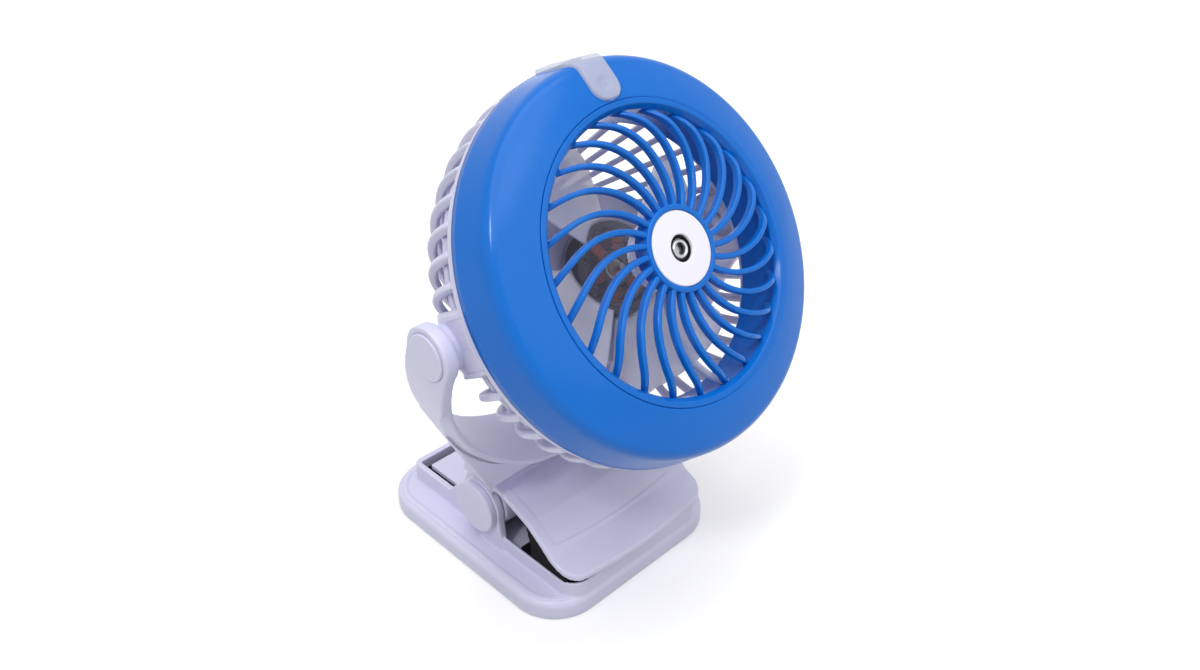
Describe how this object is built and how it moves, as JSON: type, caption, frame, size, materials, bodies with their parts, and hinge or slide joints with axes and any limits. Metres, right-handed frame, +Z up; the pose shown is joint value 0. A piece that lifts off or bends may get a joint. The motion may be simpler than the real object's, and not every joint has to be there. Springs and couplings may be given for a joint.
{
  "type": "portable camping fan",
  "caption": "Clip-on camping fan with a ring-shaped water tank for mist, a tilting head in a U-shaped yoke, a sprung clamp foot and a ribbed cage over a spinning impeller.",
  "frame": {"origin": "centre of the foot's underside, on the ground", "axes": "+Z up, the fan faces -Y and up, +X to the viewer's right when the fan is seen from the front"},
  "size_m": [0.1876, 0.1843, 0.2465],
  "materials": {
    "white_shell": "satin moulded plastic",
    "blue_shell": "glossy moulded plastic",
    "nozzle_white": "glossy moulded plastic",
    "black_rubber": "matte rubber",
    "silicone": "soft translucent silicone",
    "blade_plastic": "translucent moulded plastic",
    "steel": "bright steel",
    "copper": "enamelled copper wire",
    "bronze": "sintered bronze",
    "magnet": "dull ferrite",
    "board": "solder-masked board",
    "switch_plastic": "moulded switch body",
    "cell_wrap": "shrink sleeve",
    "lens": "clear lens",
    "wick_fibre": "pressed fibre"
  },
  "bodies": {
    "base": {"base_shell": "white_shell", "base_cover": "white_shell", "base_screws": "steel", "rubber_feet": "black_rubber", "base_pad": "black_rubber", "hinge_cap_left": "white_shell", "hinge_cap_right": "white_shell", "hinge_pin": "steel"},
    "jaw": {"upper_jaw": "white_shell", "jaw_liner": "white_shell", "jaw_pad": "black_rubber", "torsion_spring": "steel", "jaw_screws": "steel", "pivot_cap_left": "white_shell", "pivot_cap_right": "white_shell"},
    "head": {"tank_shell": "blue_shell", "tank_back": "blue_shell", "front_grille": "blue_shell", "air_barrel": "blue_shell", "nozzle_disc": "nozzle_white", "nozzle_ring": "steel", "nozzle_gasket": "black_rubber", "piezo_disc": "steel", "mist_cup": "nozzle_white", "wick": "wick_fibre", "feed_tube": "silicone", "rear_cage": "white_shell", "cage_screws": "steel", "pod_cover": "white_shell", "pod_screws": "steel", "stator_core": "steel", "windings": "copper", "motor_bush": "bronze", "circuit_board": "board", "tact_switches": "switch_plastic", "battery": "cell_wrap", "charge_socket": "steel", "indicator_lens": "lens", "pivot_screws": "steel", "pivot_washers": "black_rubber", "plug_anchor": "silicone"},
    "rotor": {"impeller": "blade_plastic", "rotor_magnet": "magnet", "rotor_shaft": "steel", "shaft_clip": "steel"},
    "plug": {"fill_plug": "silicone"},
    "speed_button": {"speed_button": "nozzle_white"},
    "mist_button": {"mist_button": "nozzle_white"}
  },
  "joints": [
    {"name": "jaw_hinge", "type": "hinge", "parent": "base", "child": "jaw", "pos_m": [0, -0.0023, 0.0315], "axis": [-1, 0, 0], "range_deg": [0, 16], "stiffness_Nm_per_rad": 1.2, "springref_deg": -34.38, "deforming": ["torsion_spring"]},
    {"name": "head_tilt", "type": "hinge", "parent": "jaw", "child": "head", "pos_m": [0, -0.04065, 0.1567], "axis": [-1, 0, 0], "range_deg": [-60, 55]},
    {"name": "impeller_spin", "type": "hinge", "parent": "head", "child": "rotor", "pos_m": [0, -0.04065, 0.1567], "axis": [0, -0.8415, 0.5402], "continuous": true},
    {"name": "plug_fold", "type": "hinge", "parent": "head", "child": "plug", "pos_m": [0, -0.02955, 0.24618], "axis": [1, 0, 0], "range_deg": [0, 100]},
    {"name": "speed_press", "type": "slide", "parent": "head", "child": "speed_button", "axis": [0, -0.8415, 0.5402], "range_m": [0, 0.001], "stiffness_N_per_m": 400, "springref_m": -0.001},
    {"name": "mist_press", "type": "slide", "parent": "head", "child": "mist_button", "axis": [0, -0.8415, 0.5402], "range_m": [0, 0.001], "stiffness_N_per_m": 400, "springref_m": -0.001}
  ]
}
